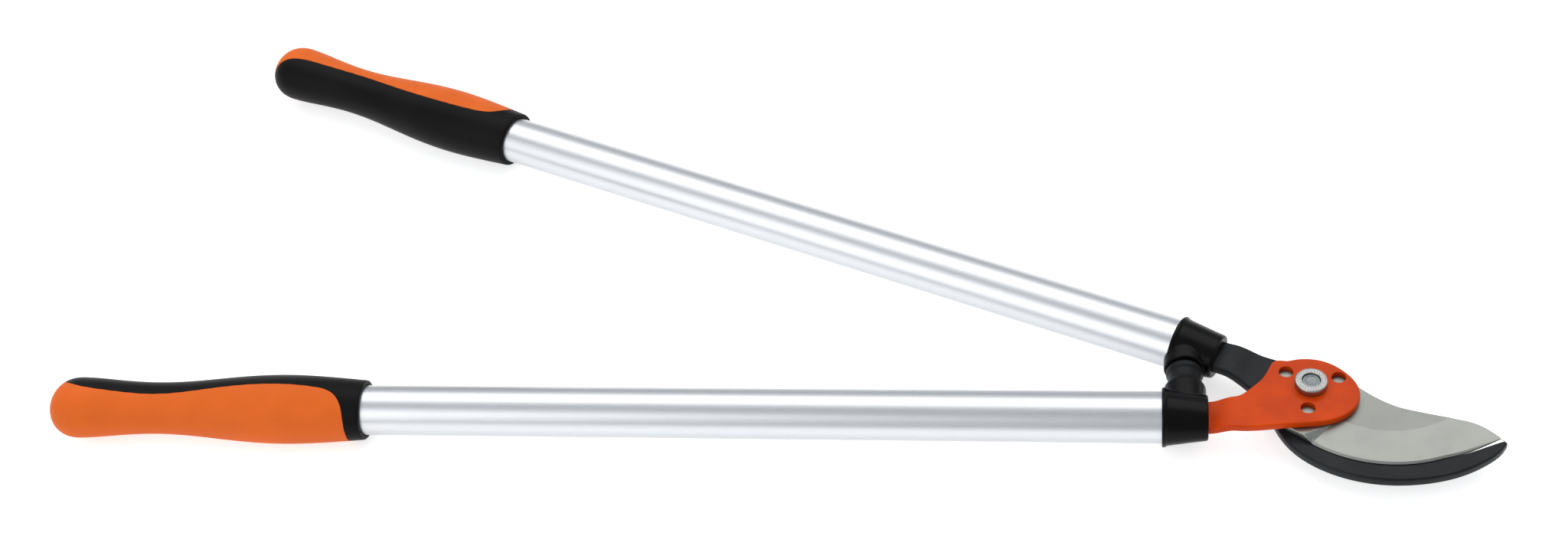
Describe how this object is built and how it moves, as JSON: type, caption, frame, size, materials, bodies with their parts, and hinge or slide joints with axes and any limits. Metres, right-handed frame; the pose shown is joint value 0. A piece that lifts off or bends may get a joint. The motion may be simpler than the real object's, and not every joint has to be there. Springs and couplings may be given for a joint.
{
  "type": "bypass loppers",
  "caption": "Two-handed bypass loppers: curved steel blade passing a forged hook, oval aluminium handles and two-colour grips, hinged on a bolt.",
  "frame": {"origin": "on the pivot axis, on the flat underside of the pivot bolt's hexagonal head", "axes": "+X along the lever-side handle towards the jaw tips, +Y towards the hook-side handle, +Z along the pivot axis up to the nut"},
  "size_m": [0.7504, 0.3269, 0.0338],
  "materials": {
    "lever_paint": "satin powder coat",
    "blade_steel": "satin ground",
    "hook_steel": "black forged, satin",
    "bronze": "plain",
    "zinc": "zinc plated",
    "tube_aluminium": "satin anodised",
    "ferrule_plastic": "satin moulded",
    "bumper_rubber": "matt",
    "insert_plastic": "plain",
    "grip_black": "fine texture",
    "grip_orange": "soft-touch, fine texture"
  },
  "bodies": {
    "lever_side": {"lever": "lever_paint", "blade": "blade_steel", "pivot_bolt": "zinc", "pivot_washer": "zinc", "pivot_nut": "zinc", "lever_tube": "tube_aluminium", "lever_ferrule": "ferrule_plastic", "bumper": "bumper_rubber", "lever_tang_insert": "insert_plastic", "lever_tang_pins": "zinc", "lever_tube_plug": "insert_plastic", "lever_grip_body": "grip_black", "lever_grip_pad": "grip_orange"},
    "hook_side": {"hook": "hook_steel", "hook_bushing": "bronze", "hook_tube": "tube_aluminium", "hook_ferrule": "ferrule_plastic", "hook_tang_insert": "insert_plastic", "hook_tang_pins": "zinc", "hook_tube_plug": "insert_plastic", "hook_grip_body": "grip_black", "hook_grip_pad": "grip_orange"}
  },
  "joints": [
    {"name": "pivot", "type": "hinge", "parent": "lever_side", "child": "hook_side", "pos_m": [0, 0, 0], "axis": [0, 0, -1], "range_deg": [0, 60]}
  ]
}
